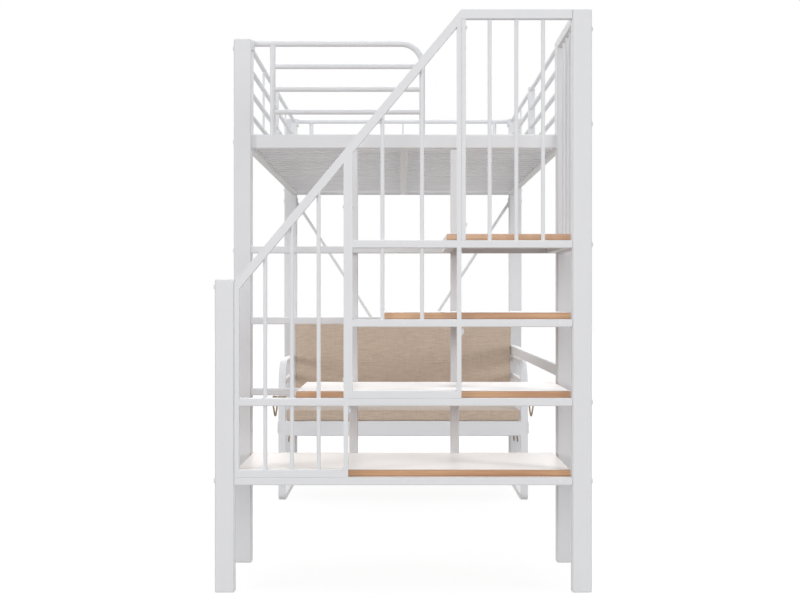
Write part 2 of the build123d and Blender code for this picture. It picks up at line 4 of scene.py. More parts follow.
import bmesh
import bpy
from bpy.props import FloatProperty, FloatVectorProperty, IntProperty, PointerProperty
from bpy.types import Operator, Panel, PropertyGroup
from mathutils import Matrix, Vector


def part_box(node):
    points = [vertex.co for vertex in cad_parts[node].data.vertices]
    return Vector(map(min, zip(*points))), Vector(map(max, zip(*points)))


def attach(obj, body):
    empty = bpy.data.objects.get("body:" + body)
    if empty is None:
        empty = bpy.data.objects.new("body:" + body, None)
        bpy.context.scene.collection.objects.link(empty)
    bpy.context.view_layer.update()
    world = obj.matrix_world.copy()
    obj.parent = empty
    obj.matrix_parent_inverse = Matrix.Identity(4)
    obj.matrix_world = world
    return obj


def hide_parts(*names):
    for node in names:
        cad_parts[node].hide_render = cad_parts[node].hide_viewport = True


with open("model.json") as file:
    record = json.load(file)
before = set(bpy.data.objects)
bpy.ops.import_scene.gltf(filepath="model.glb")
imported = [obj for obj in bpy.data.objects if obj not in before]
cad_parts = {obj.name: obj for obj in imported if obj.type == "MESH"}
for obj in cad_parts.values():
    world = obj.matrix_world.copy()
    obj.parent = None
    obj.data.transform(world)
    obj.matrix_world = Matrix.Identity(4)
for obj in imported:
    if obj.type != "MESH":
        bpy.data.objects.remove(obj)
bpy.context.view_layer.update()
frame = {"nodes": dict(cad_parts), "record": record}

bl_info = {
    "name": "Loft bed dressing",
    "version": (1, 0, 0),
    "blender": (4, 5, 0),
    "location": "View3D > Sidebar > Loft bed",
    "description": "Finishes, cushions, ties, bolts and stage of a steel loft bed with a sofa",
    "category": "Object",
}

SLOT_OF_NODE = {part["node"]: part["material_slot"] for part in frame["record"]["subparts"]}
BODY = "root"
Y_AXIS, Z_AXIS = 1, 2
RIGHT_ANGLE = math.radians(90)


# Settings that a user would change


def colour(name, description, default):
    return FloatVectorProperty(
        name=name, description=description, default=default,
        subtype="COLOR", size=3, min=0, max=1,
    )


def length(name, description, default):
    return FloatProperty(
        name=name, description=description, default=default, min=0,
        subtype="DISTANCE", unit="LENGTH", precision=4,
    )


def angle(name, description, degrees):
    return FloatProperty(
        name=name, description=description, default=math.radians(degrees),
        subtype="ANGLE", unit="ROTATION",
    )


def strength(name, description, default):
    return FloatProperty(name=name, description=description, default=default, min=0)


class LoftBedFinishes(PropertyGroup):
    metal: colour("Powder coat", "White of the steel tubes", (0.80, 0.81, 0.835))
    plastic: colour("Plastic", "White of the caps and glides", (0.81, 0.815, 0.83))
    board_light: colour("Board, light", "Light streaks of the board", (0.65, 0.37, 0.185))
    board_dark: colour("Board, dark", "Dark streaks of the board", (0.43, 0.205, 0.088))
    backing: colour("Backing", "Pale foil below the boards", (0.86, 0.85, 0.835))
    fabric_light: colour("Fabric, light", "Light threads of the cushions", (0.70, 0.565, 0.455))
    fabric_dark: colour("Fabric, dark", "Gaps between the threads", (0.375, 0.29, 0.22))
    tie_light: colour("Tie, light", "Light threads of the ties", (0.46, 0.345, 0.235))
    tie_dark: colour("Tie, dark", "Gaps between the ties' threads", (0.20, 0.145, 0.09))


class LoftBedCushions(PropertyGroup):
    side_inset: length("Side inset", "How far the cover's edges start inside the cushion", 0.0008)
    face_inset: length("Face inset", "How much lower the crowned face starts before the fill", 0.011)
    rest_inset: length("Rest inset", "How far the resting face starts from what it rests on", 0.0006)
    draw: length("Draw", "How far the sides pull in between the corners", 0.003)
    corner: length("Corner", "Rounding of the edges before the fill", 0.0065)
    voxel: length("Voxel", "Size of the cloth's mesh", 0.006)
    pressure: strength("Pressure", "Pressure of the fill", 4)
    swell: length("Swell", "Furthest that the fill may push the cloth", 0.011)
    welt: length("Welt", "Diameter of the corded seam", 0.003)


class LoftBedHardware(PropertyGroup):
    head_reach: length("Head reach", "Furthest distance within one bolt head", 0.020)
    socket_share: FloatProperty(
        name="Socket", description="Socket's width as a share of the head", default=0.42,
        min=0.1, max=0.8, subtype="FACTOR")
    joint_bolt: length("Joint bolt", "Diameter of the bolts between the railing sections", 0.011)
    joint_height: length("Joint bolt height", "How far those bolts stand out", 0.003)
    nut: length("Cap nut", "Width of the cap nuts on the railing", 0.013)
    nut_height: length("Cap nut height", "How far the cap nuts stand out", 0.005)
    foot_nut: length("Foot nut", "Width of the large cap nuts below the rails", 0.025)
    foot_nut_height: length("Foot nut height", "How far the large cap nuts stand out", 0.0078)
    rivet: length("Rivet", "Diameter of the flat rivets in the front rails", 0.009)
    rivet_height: length("Rivet height", "How far the rivets stand out", 0.0010)


class LoftBedTies(PropertyGroup):
    width: length("Width", "Width of the ribbon", 0.0075)
    thickness: length("Thickness", "Thickness of the ribbon", 0.0016)
    gap: length("Gap", "Room between a tie and the tube that it goes round", 0.0006)
    height: length("Height", "Height of the knots at the legs above the floor", 0.4435)
    drop: length("Drop", "How far the loops hang below the knots", 0.085)


class LoftBedStage(PropertyGroup):
    sky: strength("Sky", "Strength of the even light", 0.37)
    front_lamp: strength("Front lamp", "Strength of the soft light from the camera's side", 0.35)
    side_lamp: strength("Side lamps", "Strength of the soft lights at the two sides", 0.93)
    back_lamp: strength("Back lamp", "Strength of the soft light from behind the bed", 0.9)
    top_lamp: strength("Top lamp", "Strength of the soft light from above", 0.85)
    lamp_rise: angle("Lamp height", "Angle of the front and side lamps above the floor", 9)
    back_rise: angle("Back height", "Angle of the back lamp above the floor", 35)
    side_turn: angle("Side turn", "How far the side lamps stand round from the camera", 55)
    lamp_spread: angle("Lamp spread", "Width of the front and side lamps, for soft shadows", 18)
    top_spread: angle("Top spread", "Width of the back and top lamps, for soft shadows", 45)
    floor: colour("Floor", "Floor as the object sees it", (0.54, 0.505, 0.48))
    camera_side: FloatProperty(
        name="Camera side", description="Place of the camera across the bed",
        default=-0.0138, subtype="DISTANCE", unit="LENGTH", precision=4)
    camera_distance: length("Camera distance", "Distance to the middle of the bed", 5.272)
    camera_height: length("Camera height", "Height of the camera above the floor", 0.8589)
    image_width: IntProperty(
        name="Image width", description="Width of the photograph in pixels", default=800)
    focal_pixels: FloatProperty(
        name="Focal length", description="Focal length in pixels of the photograph",
        default=1373.7)


class LoftBedSettings(PropertyGroup):
    finishes: PointerProperty(type=LoftBedFinishes)
    cushions: PointerProperty(type=LoftBedCushions)
    hardware: PointerProperty(type=LoftBedHardware)
    ties: PointerProperty(type=LoftBedTies)
    stage: PointerProperty(type=LoftBedStage)


# Nodes


WHITE = (1, 1, 1)

# Places of the two colours and of the mixed one among the sockets of a Mix node

FIRST_COLOUR, SECOND_COLOUR, MIXED_COLOUR = 6, 7, 2


def add(tree, kind, links=None, **values):
    """New node whose named values are set and whose inputs are linked or given values."""
    node = tree.nodes.new(kind)
    for name, value in values.items():
        setattr(node, name, value)
    for socket, source in (links or {}).items():
        if isinstance(source, bpy.types.NodeSocket):
            tree.links.new(source, node.inputs[socket])
        else:
            node.inputs[socket].default_value = source
    return node


def calculated(tree, operation, *values):
    """Result of a Math node for these numbers and sockets."""
    return add(tree, "ShaderNodeMath", dict(enumerate(values)), operation=operation).outputs[0]


def weighted(tree, *pairs):
    """Sum of the sources, each times its weight."""
    parts = [calculated(tree, "MULTIPLY", source, weight) for source, weight in pairs]
    result = parts[0]
    for part in parts[1:]:
        result = calculated(tree, "ADD", result, part)
    return result


def ramp(tree, value, low, high, start=0.0, end=1.0):
    """Number that goes from start to end as the value goes from low to high."""
    return add(tree, "ShaderNodeMapRange", {
        "Value": value, "From Min": low, "From Max": high, "To Min": start, "To Max": end,
    }).outputs[0]


def opaque(tint):
    """Colour with full cover, as nodes take it; a socket stays as it is."""
    return tint if isinstance(tint, bpy.types.NodeSocket) else (*tint, 1)


def blend(tree, mask, first, second):
    """Colour that goes from the first to the second with the mask; both are colours or sockets."""
    return add(tree, "ShaderNodeMix", {
        "Factor": mask, FIRST_COLOUR: opaque(first), SECOND_COLOUR: opaque(second),
    }, data_type="RGBA").outputs[MIXED_COLOUR]


def noise(tree, vector, scale, detail):
    """Noise value; the scale is a number or a socket."""
    return add(tree, "ShaderNodeTexNoise", {
        "Vector": vector, "Scale": scale, "Detail": detail,
    }).outputs["Fac"]


def stretched(tree, vector, stretch):
    return add(tree, "ShaderNodeMapping", {"Vector": vector, "Scale": stretch}).outputs["Vector"]


def streaks(tree, vector, stretch, detail):
    """Noise that is drawn out along the axes with the small numbers."""
    return noise(tree, stretched(tree, vector, stretch), 1.0, detail)


def upward_part(tree, vector):
    return add(tree, "ShaderNodeSeparateXYZ", {"Vector": vector}).outputs["Z"]


# Node groups that several finishes share


def new_group(name, inputs, outputs):
    """Empty node group with its sockets; returns the group and its input and output nodes."""
    group = bpy.data.node_groups.new(name, "ShaderNodeTree")
    for label, kind in inputs.items():
        group.interface.new_socket(name=label, in_out="INPUT", socket_type=kind)
    for label in outputs:
        group.interface.new_socket(name=label, in_out="OUTPUT", socket_type="NodeSocketFloat")
    return group, group.nodes.new("NodeGroupInput"), group.nodes.new("NodeGroupOutput")


def put_out(group, out, results):
    """Links each result to the group's output of that name."""
    for label, socket in results.items():
        group.links.new(socket, out.inputs[label])


def coat_group():
    """Orange peel of a powder coat and the slow change of its tone."""
    group, given, out = new_group(
        "Powder coat", {"Vector": "NodeSocketVector", "Grain scale": "NodeSocketFloat"},
        ("Tone", "Peel"),
    )
    vector = given.outputs["Vector"]
    slow = noise(group, vector, scale=2.3, detail=2)
    cloudy = noise(group, vector, scale=19.0, detail=3)
    put_out(group, out, {
        "Tone": weighted(group, (slow, 0.6), (cloudy, 0.4)),
        "Peel": noise(group, vector, given.outputs["Grain scale"], detail=2),
    })
    return group


def grain_group():
    """Board grain that runs along X: broad figure, fine streaks and pores."""
    group, given, out = new_group(
        "Board grain", {"Vector": "NodeSocketVector"}, ("Figure", "Pores"))
    vector = given.outputs["Vector"]
    wander = streaks(group, vector, stretch=(1.6, 7.0, 7.0), detail=3)
    rings = add(group, "ShaderNodeTexWave", {
        "Vector": stretched(group, vector, (0.7, 6.0, 9.0)),
        "Scale": 2.4, "Distortion": 9.0, "Detail": 3.0, "Detail Scale": 0.8,
    }, bands_direction="Y").outputs["Fac"]
    fine = streaks(group, vector, stretch=(3.5, 140.0, 140.0), detail=4)
    pores = streaks(group, vector, stretch=(26.0, 900.0, 900.0), detail=2)
    put_out(group, out, {
        "Figure": weighted(group, (rings, 0.24), (wander, 0.36), (fine, 0.50)),
        "Pores": ramp(group, pores, low=0.60, high=0.74),
    })
    return group


def weave_group():
    """Plain linen weave with uneven threads, in both directions of the cloth."""
    group, given, out = new_group(
        "Linen weave", {"Vector": "NodeSocketVector", "Threads": "NodeSocketFloat"},
        ("Thread", "Slub", "Band", "Height"),
    )
    vector = given.outputs["Vector"]
    parts = add(group, "ShaderNodeSeparateXYZ", {"Vector": vector}).outputs
    rise = calculated(group, "ADD", parts["Y"], parts["Z"])
    waves = []
    for place in (parts["X"], rise):
        turn = calculated(group, "MULTIPLY", place, given.outputs["Threads"])
        waves.append(calculated(group, "SINE", turn))
    thread = ramp(group, calculated(group, "MULTIPLY", *waves), low=-1.0, high=1.0)
    lying = streaks(group, vector, stretch=(22.0, 520.0, 520.0), detail=3)
    standing = streaks(group, vector, stretch=(520.0, 30.0, 30.0), detail=3)
    slub = weighted(group, (lying, 0.62), (standing, 0.38))
    put_out(group, out, {
        "Thread": thread,
        "Slub": slub,
        "Band": streaks(group, vector, stretch=(22.0, 300.0, 300.0), detail=2),
        "Height": weighted(group, (thread, 0.6), (slub, 0.7)),
    })
    return group


# Finishes


FINISH_OF_SLOT = {
    "white_metal": "white_powder_coat",
    "white_plastic": "white_moulded_plastic",
    "bolt_steel": "painted_bolt_steel",
    "tread_board": "lacquered_board",
    "cushion_fabric": "cushion_linen",
    "tie_fabric": "woven_tie",
}

# Values of the patterns between which the colour goes from its dark to its light tint

TONE_RANGE = (0.3, 0.7)
FIGURE_RANGE = (0.36, 0.76)
WEAVE_RANGE = (0.445, 1.025)

# Dark pores of the boards, and painted shade in lines along their lower and upper edges: the tint
# as a share of the dark one, how strong it is in the pores, and for the shade lines along a board's
# lower and upper edges the height in metres and strength

LINE_SHADE = 0.6
PORE_STRENGTH = 0.35
LOWER_SHADE_LINE = (0.0032, 0.70)
UPPER_SHADE_LINE = (0.0022, 0.45)

# Radians that the waves of the weave turn through in each metre of cloth

CUSHION_THREADS = 2400.0
TIE_THREADS = 4200.0


def new_material(name):
    """New material; returns its tree, its Principled shader and the object's coordinates."""
    material = bpy.data.materials.new(name)
    material.use_nodes = True
    tree = material.node_tree
    place = add(tree, "ShaderNodeTexCoord").outputs["Object"]
    return tree, tree.nodes["Principled BSDF"], place


def effects(tree, group, links):
    """Outputs of a node group that is used in this material."""
    return add(tree, "ShaderNodeGroup", links, node_tree=group).outputs


def set_colour(tree, shader, socket):
    tree.links.new(socket, shader.inputs["Base Color"])


def set_roughness(tree, shader, mask, start, end):
    tree.links.new(ramp(tree, mask, 0.0, 1.0, start, end), shader.inputs["Roughness"])


def set_bump(tree, shader, height, distance):
    bump = add(tree, "ShaderNodeBump", {"Height": height, "Distance": distance, "Strength": 1.0})
    tree.links.new(bump.outputs["Normal"], shader.inputs["Normal"])


def set_sheen(shader, weight, roughness):
    shader.inputs["Sheen Weight"].default_value = weight
    shader.inputs["Sheen Roughness"].default_value = roughness


def shaded(tint, share):
    return tuple(part * share for part in tint)


def coating(coat, name, tint, shares, grain, bump, rough_by, roughness):
    """Paint or plastic whose tint goes between two shares; returns its Principled shader."""
    tree, shader, place = new_material(name)
    effect = effects(tree, coat, {"Vector": place, "Grain scale": grain})
    dark, light = (shaded(tint, share) for share in shares)
    set_colour(tree, shader, blend(tree, ramp(tree, effect["Tone"], *TONE_RANGE), dark, light))
    set_roughness(tree, shader, effect[rough_by], *roughness)
    set_bump(tree, shader, effect["Peel"], bump)
    return shader


def metal_finish(coat, finishes):
    """Powder coat of the tubes, with a soft sheen."""
    shader = coating(coat, "white_powder_coat", finishes.metal, shares=(0.965, 1.0), grain=420.0,
                     bump=0.00002, rough_by="Tone", roughness=(0.34, 0.46))
    set_sheen(shader, weight=0.6, roughness=0.3)


def plastic_finish(coat, finishes):
    """Moulded plastic of the caps and glides, duller and with a finer peel."""
    coating(coat, "white_moulded_plastic", finishes.plastic, shares=(0.95, 1.0), grain=1500.0,
            bump=0.00004, rough_by="Peel", roughness=(0.50, 0.66))


def bolt_finish(coat, finishes):
    """Paint of the bolts, a little brighter and glossier than the tubes."""
    coating(coat, "painted_bolt_steel", finishes.metal, shares=(0.98, 1.06), grain=1100.0,
            bump=0.00003, rough_by="Tone", roughness=(0.26, 0.36))


def pores_and_edge_shade(tree, place, pores):
    """Mask of the boards' pores and of painted shade lines along their lower and upper edges."""
    height = upward_part(tree, place)
    lines = calculated(tree, "MULTIPLY", pores, PORE_STRENGTH)
    for node, slot in SLOT_OF_NODE.items():
        if slot == "tread_board":
            low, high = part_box(node)
            # Painted shade: darker lines along each board's lower and upper edges
            for level, (reach, power) in ((low.z, LOWER_SHADE_LINE), (high.z, UPPER_SHADE_LINE)):
                line = calculated(tree, "COMPARE", height, level, reach)
                lines = calculated(tree, "ADD", lines, calculated(tree, "MULTIPLY", line, power))
    return lines


def board_finish(grain, finishes):
    """Lacquered board: grained face with painted shade lines along its edges, pale foil below."""
    tree, shader, place = new_material("lacquered_board")
    effect = effects(tree, grain, {"Vector": place})
    figure, pores = effect["Figure"], effect["Pores"]
    upward = upward_part(tree, add(tree, "ShaderNodeTexCoord").outputs["Normal"])
    wood = blend(tree, ramp(tree, figure, *FIGURE_RANGE), finishes.board_dark, finishes.board_light)
    # The pores and the painted shade lines along the edges take this darker tint
    pore_and_shade_tint = shaded(finishes.board_dark, LINE_SHADE)
    pored_and_shaded = blend(tree, pores_and_edge_shade(tree, place, pores), wood, pore_and_shade_tint)
    below = ramp(tree, upward, low=-0.5, high=-0.8)
    set_colour(tree, shader, blend(tree, below, pored_and_shaded, finishes.backing))
    set_roughness(tree, shader, figure, start=0.30, end=0.22)
    set_bump(tree, shader, calculated(tree, "MULTIPLY", pores, -1.0), distance=0.00004)
    lacquer = ramp(tree, upward, low=0.4, high=0.8, start=0.1, end=0.5)
    tree.links.new(lacquer, shader.inputs["Coat Weight"])
    shader.inputs["Coat IOR"].default_value = 2.2
    shader.inputs["Coat Roughness"].default_value = 0.25
    set_sheen(shader, weight=1.0, roughness=0.45)


def cloth_finish(weave, name, light, dark, threads):
    """Woven cloth with light threads and dark gaps."""
    tree, shader, place = new_material(name)
    effect = effects(tree, weave, {"Vector": place, "Threads": threads})
    mask = weighted(tree, (effect["Thread"], 0.35), (effect["Slub"], 0.8), (effect["Band"], 0.45))
    set_colour(tree, shader, blend(tree, ramp(tree, mask, *WEAVE_RANGE), dark, light))
    set_roughness(tree, shader, effect["Slub"], start=0.82, end=0.96)
    set_bump(tree, shader, effect["Height"], distance=0.0004)
    set_sheen(shader, weight=0.45, roughness=0.5)


def paint(obj, material):
    obj.data.materials.clear()
    obj.data.materials.append(material)


def dress(obj, slot):
    """The piece gets its slot's finish and rides on the bed's body."""
    paint(obj, bpy.data.materials[FINISH_OF_SLOT[slot]])
    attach(obj, BODY)


class LOFTBED_OT_finishes(Operator):
    """Make the finishes and give each CAD node the one that its slot names"""
    bl_idname = "loftbed.finishes"
    bl_label = "Finishes"

    def execute(self, context):
        finishes = context.scene.loft_bed.finishes
        coat, grain, weave = coat_group(), grain_group(), weave_group()
        metal_finish(coat, finishes)
        plastic_finish(coat, finishes)
        bolt_finish(coat, finishes)
        board_finish(grain, finishes)
        cloth_finish(weave, "cushion_linen", finishes.fabric_light, finishes.fabric_dark,
                     CUSHION_THREADS)
        cloth_finish(weave, "woven_tie", finishes.tie_light, finishes.tie_dark, TIE_THREADS)
        for name, node in frame["nodes"].items():
            paint(node, bpy.data.materials[FINISH_OF_SLOT[SLOT_OF_NODE[name]]])
        return {"FINISHED"}


# Modelling helpers


SMOOTH_METAL = math.radians(35)
SMOOTH_RIBBON = math.radians(50)

# A face whose normal has at least this much of Z lies level

LEVEL_FACE = 0.99


def pick(*objects):
    """Only these objects are selected, and the last one is active."""
    bpy.ops.object.select_all(action="DESELECT")
    for obj in objects:
        obj.select_set(True)
    bpy.context.view_layer.objects.active = objects[-1]


def settle(obj):
    """The object's place, turn and scale go into its mesh."""
    pick(obj)
    bpy.ops.object.transform_apply(location=True, rotation=True, scale=True)


def added(name):
    """The object that was just added, named and settled."""
    obj = bpy.context.object
    obj.name = name
    settle(obj)
    return obj


def smooth(obj, limit):
    """Smooth shading across the edges that bend less than the limit."""
    pick(obj)
    bpy.ops.object.shade_smooth_by_angle(angle=limit)


def edit(obj):
    pick(obj)
    bpy.ops.object.mode_set(mode="EDIT")


def leave_edit():
    bpy.ops.object.mode_set(mode="OBJECT")


def choose(obj, kind, test):
    """Selects in edit mode the faces, edges or vertices that pass the test."""
    bpy.ops.mesh.select_mode(type=kind)
    bpy.ops.mesh.select_all(action="DESELECT")
    mesh = bmesh.from_edit_mesh(obj.data)
    for part in {"FACE": mesh.faces, "EDGE": mesh.edges, "VERT": mesh.verts}[kind]:
        if test(part):
            part.select_set(True)
    mesh.select_flush_mode()
    bmesh.update_edit_mesh(obj.data)


def apply_modifier(obj, kind, **values):
    """Adds a modifier with these values and applies it."""
    modifier = obj.modifiers.new(kind.title(), kind)
    for name, value in values.items():
        setattr(modifier, name, value)
    pick(obj)
    bpy.ops.object.modifier_apply(modifier=modifier.name)


def twin(obj, name):
    """Copy of an object with its own mesh."""
    pick(obj)
    bpy.ops.object.duplicate(linked=False)
    copy = bpy.context.object
    copy.name = name
    return copy


def remove(obj):
    bpy.data.objects.remove(obj)


def solids_of(node, reach):
    """Boxes of a CAD node's solids, each smaller than the reach."""
    groups = []
    for vertex in frame["nodes"][node].data.vertices:
        for group in groups:
            if (group[0] - vertex.co).length < reach:
                group.append(vertex.co)
                break
        else:
            groups.append([vertex.co])
    return [(Vector(map(min, zip(*group))), Vector(map(max, zip(*group)))) for group in groups]


# Bolts


FACING = {
    "left": (0, -RIGHT_ANGLE, 0),
    "right": (0, RIGHT_ANGLE, 0),
    "front": (RIGHT_ANGLE, 0, 0),
}
RAILING = ("railing_section_a", "railing_section_b", "railing_section_c")
FRONT_RAILS = 4

# Places in metres, read from the photograph: X and Z of the railing's bolts and large nuts, and X
# of the rivets in each front rail

THROUGH_BOLTS = ((-0.1665, 1.1346), (-0.1665, 0.6245), (0.1665, 1.6625), (0.1665, 1.0815))
FOOT_NUTS = ((-0.1665, 0.533), (0.1665, 0.766))
RIVETS = (("middle", -0.004), ("end", 0.455))

# Where the search for the railing's surface starts: Y in its middle, X beside it, Y before it

RAILING_MIDDLE = -1.2221
RAILING_CLEARANCE = 0.035
RAILING_FRONT = -1.3


def disc(name, sides, diameter, height, rim, segments):
    """Disc that stands on z 0 and faces up, with its upper rim rounded."""
    bpy.ops.mesh.primitive_cylinder_add(
        vertices=sides, radius=diameter / 2, depth=height, location=(0, 0, height / 2))
    obj = added(name)
    edit(obj)
    choose(obj, "EDGE", lambda edge: all(vert.co.z > height / 2 for vert in edge.verts))
    bpy.ops.mesh.bevel(offset=rim, segments=segments, affect="EDGES")
    leave_edit()
    return obj


def bolt_head(name, diameter, height, socket_share):
    """Round head with a softened rim and a six-sided socket."""
    head = disc(name, 36, diameter, height, rim=height * 0.55, segments=4)
    bpy.ops.mesh.primitive_cylinder_add(
        vertices=6, radius=diameter * socket_share / 2, depth=height, location=(0, 0, height))
    cutter = bpy.context.object
    apply_modifier(head, "BOOLEAN", operation="DIFFERENCE", object=cutter, solver="EXACT")
    remove(cutter)
    smooth(head, SMOOTH_METAL)
    return head


def cap_nut(name, width, height):
    """Six-sided nut with a domed cap."""
    flat = height * 0.45
    base = disc(name, 6, width, flat, rim=flat * 0.15, segments=2)
    cap = disc(name + "_cap", 24, width * 0.76, height, rim=height * 0.45, segments=6)
    pick(cap, base)
    bpy.ops.object.join()
    smooth(base, SMOOTH_METAL)
    return base


def rivet(name, diameter, height):
    """Flat round rivet with a softened rim and a shallow dish."""
    obj = disc(name, 24, diameter, height, rim=height * 0.7, segments=3)
    edit(obj)
    choose(obj, "FACE", lambda face: face.normal.z > LEVEL_FACE)
    bpy.ops.mesh.inset(thickness=diameter * 0.15, depth=-height * 0.3)
    leave_edit()
    smooth(obj, SMOOTH_METAL)
    return obj


def set_bolt(head, name, place, facing):
    """Copy of the head at a place, turned to face out of the surface there."""
    copy = twin(head, name)
    copy.rotation_euler = FACING[facing]
    copy.location = place
    settle(copy)
    dress(copy, "bolt_steel")
    return copy


class LOFTBED_OT_post_bolts(Operator):
    """Round heads with sockets on the posts' outer faces and on the sofa's legs"""
    bl_idname = "loftbed.post_bolts"
    bl_label = "Post bolts"

    def execute(self, context):
        hardware = context.scene.loft_bed.hardware
        for node in ("left_post_bolts", "right_post_bolts", "sofa_bolts"):
            solids = solids_of(node, hardware.head_reach)
            low, high = solids[0]
            head = bolt_head("head", high.z - low.z, high.x - low.x, hardware.socket_share)
            for number, (low, high) in enumerate(solids, 1):
                middle = (low + high) / 2
                facing, base = ("left", high.x) if middle.x < 0 else ("right", low.x)
                copy = set_bolt(head, f"{node}_{number}", (base, middle.y, middle.z), facing)
                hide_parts(node)
            remove(head)
        return {"FINISHED"}


def surface(nodes, start, direction):
    """Nearest point of these CAD nodes from a start in a direction."""
    start, direction = Vector(start), Vector(direction)
    found = []
    for name in nodes:
        hit, place, normal, face = frame["nodes"][name].ray_cast(start, direction)
        if hit:
            found.append(((place - start).length, place))
    if not found:
        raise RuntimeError("no surface was found for a bolt at " + str(tuple(start)))
    return min(found, key=lambda pair: pair[0])[1]


def railing_side(x, z, side):
    """Point on the railing's left (-1) or right (1) face at this place."""
    return surface(RAILING, (x + side * RAILING_CLEARANCE, RAILING_MIDDLE, z), (-side, 0, 0))


class LOFTBED_OT_railing_bolts(Operator):
    """Bolts with cap nuts between the railing sections, and rivets in the front rails"""
    bl_idname = "loftbed.railing_bolts"
    bl_label = "Railing bolts"

    def execute(self, context):
        hardware = context.scene.loft_bed.hardware
        head = bolt_head("head", hardware.joint_bolt, hardware.joint_height,
                         hardware.socket_share)
        nut = cap_nut("nut", hardware.nut, hardware.nut_height)
        large = cap_nut("large", hardware.foot_nut, hardware.foot_nut_height)
        flat = rivet("flat", hardware.rivet, hardware.rivet_height)
        for number, (x, z) in enumerate(THROUGH_BOLTS, 1):
            set_bolt(head, f"railing_bolt_{number}", railing_side(x, z, -1), "left")
            set_bolt(nut, f"railing_nut_{number}", railing_side(x, z, 1), "right")
        for number, (x, z) in enumerate(FOOT_NUTS, 1):
            set_bolt(large, f"railing_foot_nut_{number}", railing_side(x, z, 1), "right")
        for number in range(1, FRONT_RAILS + 1):
            rail = f"front_stair_rail_{number}"
            low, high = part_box(rail)
            for spot, x in RIVETS:
                start = (x, RAILING_FRONT, (low.z + high.z) / 2)
                place = surface((rail,) + RAILING, start, (0, 1, 0))
                set_bolt(flat, f"rail_rivet_{spot}_{number}", place, "front")
        for part in (head, nut, large, flat):
            remove(part)
        return {"FINISHED"}


# Ties


LEG_DEPTH = 0.030
BAND_CORNER = 0.0015

# Widths of the band and of the ends at the rail, as shares of the ribbon's

BAND_SHARE = 0.8
RAIL_END_SHARE = 0.85

# Width and height of a knot, and how far its waist reaches and how thick it is, as shares of them

LEG_KNOT = (0.013, 0.010)
RAIL_KNOT = (0.012, 0.009)
WAIST_REACH = 0.3
WAIST_THICKNESS = 0.78

# Directions of the ribbons' widths

LOOP_ACROSS = (0.85, 0.53, 0)
EAR_ACROSS = (0, 0.5, 0.86)
RAIL_END_ACROSS = (0.95, 0.3, 0)

# Routes at a leg, in metres: out from its outer face, back from its front, and up from the
# knot's height; the loop's route is for a drop of 85 mm

LOOP_DROP = 0.085
LOOP_ROUTE = (
    (0.0100, 0.004, 0.000),
    (0.0060, 0.001, -0.010),
    (0.0050, 0.000, -0.030),
    (0.0075, 0.002, -0.055),
    (0.0115, 0.003, -0.079),
    (0.0135, 0.003, -0.085),
    (0.0160, 0.004, -0.079),
    (0.0200, 0.005, -0.055),
    (0.0240, 0.004, -0.030),
    (0.0220, 0.004, -0.010),
    (0.0100, 0.006, 0.000),
)
EAR_ROUTE = (
    (0.0100, 0.003, 0.0000),
    (0.0180, 0.001, 0.0025),
    (0.0245, 0.001, 0.0010),
    (0.0250, 0.003, -0.0015),
    (0.0180, 0.005, -0.0020),
    (0.0100, 0.006, -0.0010),
)

# Ties at the front rail: how far they are from the sofa's middle and behind the rail, and for the
# two ends the distance from the tie's middle, the lean outwards and the height above the floor

RAIL_TIE_SIDE = 0.483
BEHIND_RAIL = 0.004
RAIL_ENDS = ((-0.006, 0.000, 0.2515), (0.006, 0.004, 0.2462))


def ribbon(name, route, across, width, thickness):
    """Flat ribbon along a route, with its width in one direction, rounded by subdivision."""
    half = Vector(across).normalized() * (width / 2)
    points = [Vector(point) for point in route]
    bpy.ops.mesh.primitive_plane_add(size=width, location=points[0])
    obj = added(name)
    corners = (points[0] - half, points[0] + half, points[1] - half, points[1] + half)
    for vertex, place in zip(obj.data.vertices, corners):
        vertex.co = place
    edit(obj)
    choose(obj, "VERT", lambda vert: vert.index in (2, 3))
    for last, place in zip(points[1:], points[2:]):
        bpy.ops.mesh.extrude_region_move(TRANSFORM_OT_translate={"value": place - last})
    leave_edit()
    apply_modifier(obj, "SUBSURF", levels=2, render_levels=2)
    apply_modifier(obj, "SOLIDIFY", thickness=thickness, offset=0)
    smooth(obj, SMOOTH_RIBBON)
    return obj


def band(name, low, high, width, thickness):
    """Ribbon once round a tube that stands between two corners."""
    size = high - low
    size.z = width
    bpy.ops.mesh.primitive_cube_add(size=1, location=(low + high) / 2, scale=size)
    obj = added(name)
    edit(obj)
    choose(obj, "FACE", lambda face: abs(face.normal.z) > LEVEL_FACE)
    bpy.ops.mesh.delete(type="ONLY_FACE")
    choose(obj, "EDGE", lambda edge: abs(edge.verts[0].co.z - edge.verts[1].co.z) > width / 2)
    bpy.ops.mesh.bevel(offset=BAND_CORNER, segments=3, affect="EDGES")
    leave_edit()
    apply_modifier(obj, "SOLIDIFY", thickness=thickness, offset=1)
    smooth(obj, SMOOTH_RIBBON)
    return obj


def knot(name, place, width, height):
    """Small pulled knot: a soft lump that is drawn in at its waist."""
    bpy.ops.mesh.primitive_cube_add(size=1, location=place, scale=(width, height, height))
    obj = added(name)
    edit(obj)
    bpy.ops.mesh.select_all(action="SELECT")
    bpy.ops.mesh.subdivide(number_cuts=2)
    choose(obj, "VERT", lambda vert: abs(vert.co.x - place[0]) < width * WAIST_REACH)
    bpy.ops.transform.resize(value=(1, WAIST_THICKNESS, WAIST_THICKNESS), center_override=place)
    leave_edit()
    apply_modifier(obj, "SUBSURF", levels=2, render_levels=2)
    pick(obj)
    bpy.ops.object.shade_smooth()
    return obj


def join_tie(name, parts):
    """One tie from its ribbons, band and knot."""
    pick(*parts)
    bpy.ops.object.join()
    tie = bpy.context.object
    tie.name = name
    dress(tie, "tie_fabric")
    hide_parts("cushion_ties")


